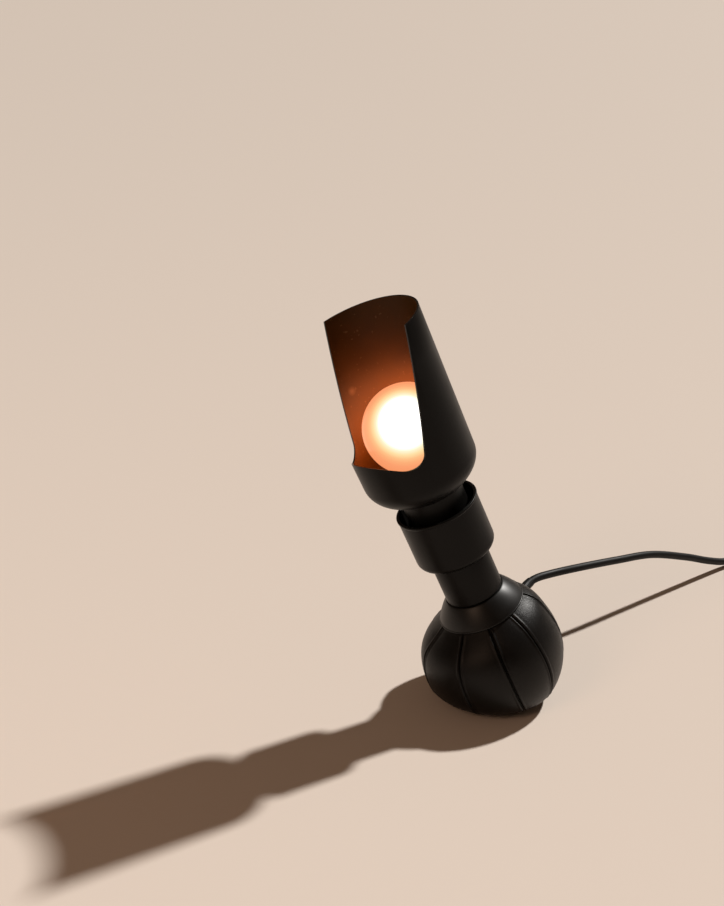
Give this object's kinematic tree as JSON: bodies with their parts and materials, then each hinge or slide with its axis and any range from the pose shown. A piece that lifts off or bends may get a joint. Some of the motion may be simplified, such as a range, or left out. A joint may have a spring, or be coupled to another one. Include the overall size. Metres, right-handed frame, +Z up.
{
  "type": "table lamp",
  "caption": "Small spotlight whose round bulb sits in a cut-away turning reflector, on a stem that leans on a soft shot-filled leather bag; corded, with a rocker switch.",
  "frame": {"origin": "centre of the bag's flat foot, on the table", "axes": "+Z up; the stem leans towards -X in the XZ plane; the cord leaves towards +X and +Y"},
  "size_m": [0.3636, 0.1477, 0.1945],
  "materials": {
    "leather": "soft black leather, satin",
    "paint": "satin black",
    "steel": "plain zinc-plated",
    "brass": "plain",
    "rubber": "matt black",
    "plastic": "satin black",
    "gloss": "semi-gloss black",
    "ceramic": "unglazed",
    "fibre": "vulcanised fibre",
    "opal": "opal, lit",
    "shot": "loose shot"
  },
  "bodies": {
    "bag": {"leather_panel_1": "leather", "leather_panel_2": "leather", "leather_panel_3": "leather", "leather_panel_4": "leather", "leather_panel_5": "leather", "leather_panel_6": "leather", "leather_panel_7": "leather", "leather_panel_8": "leather", "base_patch": "leather", "shot_filling": "shot", "cord_relief": "rubber", "inner_lead": "rubber", "supply_cord": "rubber", "switch_base": "plastic", "switch_cover": "plastic", "switch_screw_1": "steel", "switch_screw_2": "steel", "switch_lead": "rubber", "cord_coil": "rubber", "plug_lead": "rubber", "cord_tie": "plastic", "plug_body": "plastic", "plug_pin_1": "steel", "plug_pin_2": "steel"},
    "stand": {"collar": "gloss", "clamp_flange": "steel", "flange_nut": "steel", "threaded_tube": "steel", "stem": "paint", "cup": "paint", "friction_washer": "fibre", "spring_washer": "steel", "lampholder_body": "plastic", "lampholder_core": "ceramic", "screw_shell": "brass", "centre_contact": "brass", "wire_live": "brass", "wire_neutral": "brass", "riser_lead": "rubber", "bulb_glass": "opal", "bulb_cap": "steel", "bulb_tip": "brass"},
    "shade": {"reflector": "paint"},
    "rocker": {"switch_rocker": "plastic"}
  },
  "joints": [
    {"name": "lean", "type": "hinge", "parent": "bag", "child": "stand", "pos_m": [0.00456, 0, 0.022], "axis": [0, 1, 0], "range_deg": [-8, 30], "deforming": ["leather_panel_1", "leather_panel_2", "leather_panel_3", "leather_panel_4", "leather_panel_5", "leather_panel_6", "leather_panel_7", "leather_panel_8", "shot_filling", "inner_lead"]},
    {"name": "shade_spin", "type": "hinge", "parent": "stand", "child": "shade", "pos_m": [-0.02058, 0, 0.08009], "axis": [-0.3971, 0, 0.9178], "continuous": true},
    {"name": "rocker_tilt", "type": "hinge", "parent": "bag", "child": "rocker", "pos_m": [0.2368, 0.104, 0.0094], "axis": [0, 1, 0], "range_deg": [-12, 0]}
  ]
}
